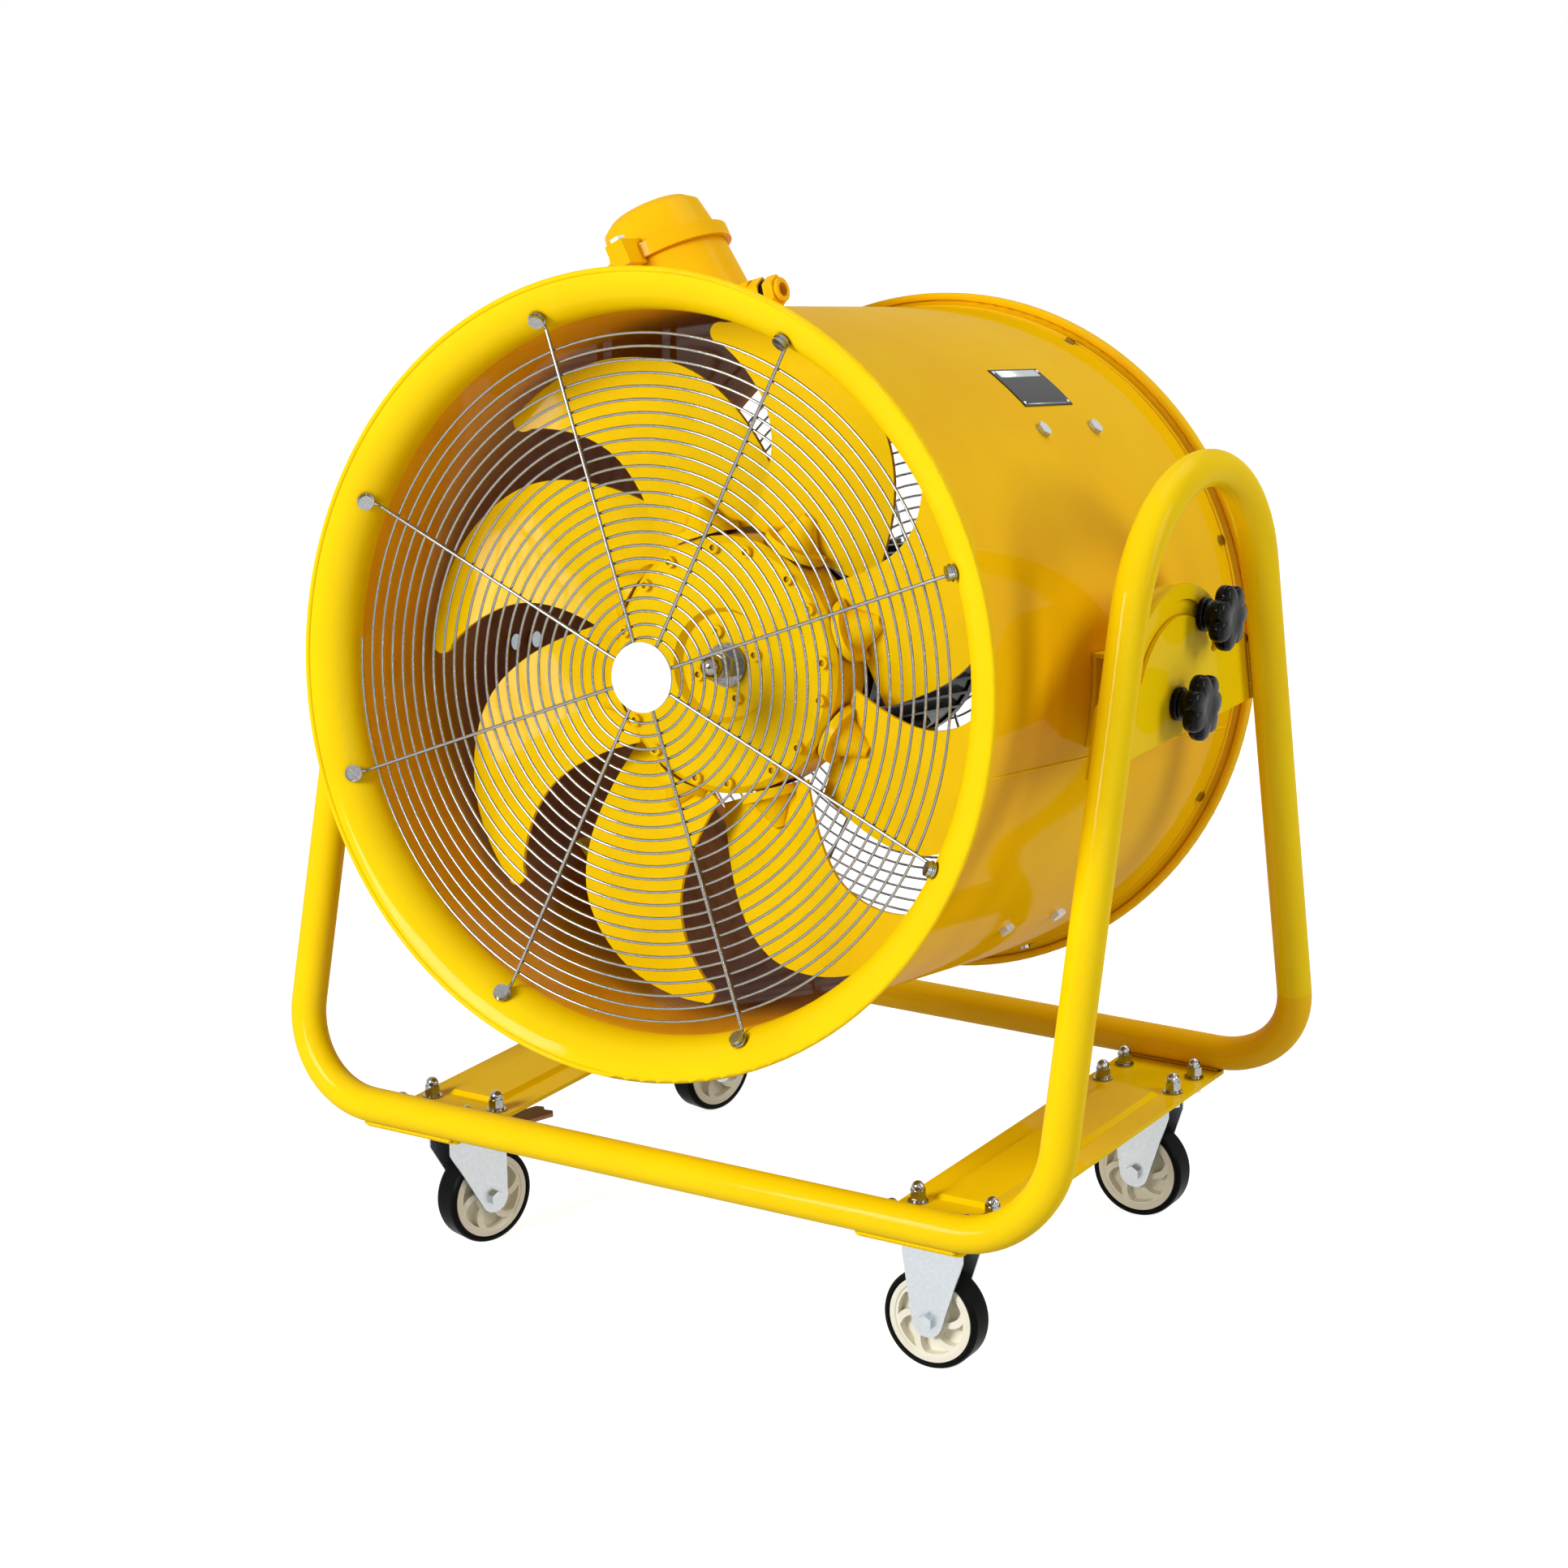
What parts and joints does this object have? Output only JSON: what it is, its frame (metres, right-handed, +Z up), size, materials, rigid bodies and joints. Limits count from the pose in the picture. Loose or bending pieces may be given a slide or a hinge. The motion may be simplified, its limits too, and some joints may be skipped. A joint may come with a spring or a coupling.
{
  "type": "explosion-proof blower",
  "caption": "Portable duct blower: a tilting drum with inlet bell, wire guards, paddle-blade impeller and motor on a bent-tube frame with casters.",
  "frame": {"origin": "on the floor under the drum's pivot, midway between the arches", "axes": "+X to the right seen from the inlet, -Y the way the inlet faces, +Z up"},
  "size_m": [0.8, 0.6366, 0.9398],
  "materials": {
    "yellow_enamel": "gloss enamel",
    "cast_enamel": "gloss enamel on cast aluminium",
    "zinc_steel": "zinc plated",
    "chrome_steel": "polished",
    "wheel_plastic": "satin",
    "tyre_rubber": "matte",
    "black_plastic": "gloss",
    "pedal_steel": "satin",
    "motor_black": "gloss",
    "disc_white": "satin",
    "plate_black": "anodised",
    "seal_rubber": "matte"
  },
  "bodies": {
    "frame": {"frame_rail_front": "yellow_enamel", "frame_rail_rear": "yellow_enamel", "frame_arch_left": "yellow_enamel", "frame_arch_right": "yellow_enamel", "cross_plate_left": "yellow_enamel", "cross_plate_right": "yellow_enamel", "trunnion_plate_left": "yellow_enamel", "trunnion_plate_right": "yellow_enamel", "caster_plates": "zinc_steel", "caster_bolts": "zinc_steel", "caster_nuts": "chrome_steel", "caster_king_pins": "zinc_steel", "forks_right": "zinc_steel", "axles_right": "zinc_steel"},
    "drum": {"drum_shell": "yellow_enamel", "front_rim": "yellow_enamel", "rear_rim": "yellow_enamel", "guard_wires": "zinc_steel", "guard_spokes": "zinc_steel", "guard_disc": "disc_white", "guard_screws": "chrome_steel", "rear_guard_wires": "zinc_steel", "rear_guard_spokes": "zinc_steel", "trunnion_bracket_left": "yellow_enamel", "trunnion_bracket_right": "yellow_enamel", "shell_bolts": "zinc_steel", "tilt_screws": "zinc_steel", "motor_body": "motor_black", "motor_front_cover": "motor_black", "motor_rear_cover": "motor_black", "motor_arms": "yellow_enamel", "junction_box": "cast_enamel", "junction_cover": "cast_enamel", "cable_gland": "cast_enamel", "gland_seal": "seal_rubber", "nameplate": "plate_black"},
    "impeller": {"hub_front": "cast_enamel", "hub_rear": "cast_enamel", "blades": "cast_enamel", "hub_bolts": "cast_enamel", "motor_shaft": "zinc_steel", "shaft_nut": "chrome_steel"},
    "caster_front_left": {"fork_front_left": "zinc_steel", "axle_front_left": "zinc_steel"},
    "brake_front_left": {"brake_pedal_front_left": "pedal_steel"},
    "roller_front_left": {"wheel_front_left": "wheel_plastic", "tyre_front_left": "tyre_rubber"},
    "roller_front_right": {"wheel_front_right": "wheel_plastic", "tyre_front_right": "tyre_rubber"},
    "caster_rear_left": {"fork_rear_left": "zinc_steel", "axle_rear_left": "zinc_steel"},
    "brake_rear_left": {"brake_pedal_rear_left": "pedal_steel"},
    "roller_rear_left": {"wheel_rear_left": "wheel_plastic", "tyre_rear_left": "tyre_rubber"},
    "roller_rear_right": {"wheel_rear_right": "wheel_plastic", "tyre_rear_right": "tyre_rubber"},
    "pivot_knob_left": {"pivot_knob_left": "black_plastic"},
    "pivot_knob_right": {"pivot_knob_right": "black_plastic"},
    "clamp_knob_left": {"clamp_knob_left": "black_plastic"},
    "clamp_knob_right": {"clamp_knob_right": "black_plastic"}
  },
  "joints": [
    {"name": "drum_tilt", "type": "hinge", "parent": "frame", "child": "drum", "pos_m": [0, 0, 0.5525], "axis": [1, 0, 0], "range_deg": [-28, 97]},
    {"name": "impeller_spin", "type": "hinge", "parent": "drum", "child": "impeller", "pos_m": [0, 0, 0.5525], "axis": [0, 0.9919, -0.1274], "continuous": true},
    {"name": "swivel_front_left", "type": "hinge", "parent": "frame", "child": "caster_front_left", "pos_m": [-0.256, -0.201, 0.12], "axis": [0, 0, 1], "continuous": true},
    {"name": "brake_front_left_press", "type": "hinge", "parent": "caster_front_left", "child": "brake_front_left", "pos_m": [-0.24211, -0.15925, 0.1035], "axis": [-0.9489, 0.3156, 0], "range_deg": [0, 15]},
    {"name": "wheel_front_left_roll", "type": "hinge", "parent": "caster_front_left", "child": "roller_front_left", "pos_m": [-0.24464, -0.16684, 0.045], "axis": [-0.9489, 0.3156, 0], "continuous": true},
    {"name": "wheel_front_right_roll", "type": "hinge", "parent": "frame", "child": "roller_front_right", "pos_m": [0.2515, -0.201, 0.045], "axis": [0, 1, 0], "continuous": true},
    {"name": "swivel_rear_left", "type": "hinge", "parent": "frame", "child": "caster_rear_left", "pos_m": [-0.256, 0.201, 0.12], "axis": [0, 0, 1], "continuous": true},
    {"name": "brake_rear_left_press", "type": "hinge", "parent": "caster_rear_left", "child": "brake_rear_left", "pos_m": [-0.2467, 0.24401, 0.1035], "axis": [-0.9774, 0.2113, 0], "range_deg": [0, 15]},
    {"name": "wheel_rear_left_roll", "type": "hinge", "parent": "caster_rear_left", "child": "roller_rear_left", "pos_m": [-0.24839, 0.23619, 0.045], "axis": [-0.9774, 0.2113, 0], "continuous": true},
    {"name": "wheel_rear_right_roll", "type": "hinge", "parent": "frame", "child": "roller_rear_right", "pos_m": [0.2515, 0.201, 0.045], "axis": [0, 1, 0], "continuous": true},
    {"name": "pivot_knob_left_turn", "type": "hinge", "parent": "drum", "child": "pivot_knob_left", "pos_m": [-0.384, 0, 0.5525], "axis": [-1, 0, 0], "continuous": true},
    {"name": "pivot_knob_right_turn", "type": "hinge", "parent": "drum", "child": "pivot_knob_right", "pos_m": [0.384, 0, 0.5525], "axis": [1, 0, 0], "continuous": true},
    {"name": "clamp_knob_left_turn", "type": "hinge", "parent": "drum", "child": "clamp_knob_left", "pos_m": [-0.384, 0.04761, 0.62049], "axis": [-1, 0, 0], "continuous": true},
    {"name": "clamp_knob_right_turn", "type": "hinge", "parent": "drum", "child": "clamp_knob_right", "pos_m": [0.384, 0.04761, 0.62049], "axis": [1, 0, 0], "continuous": true}
  ]
}
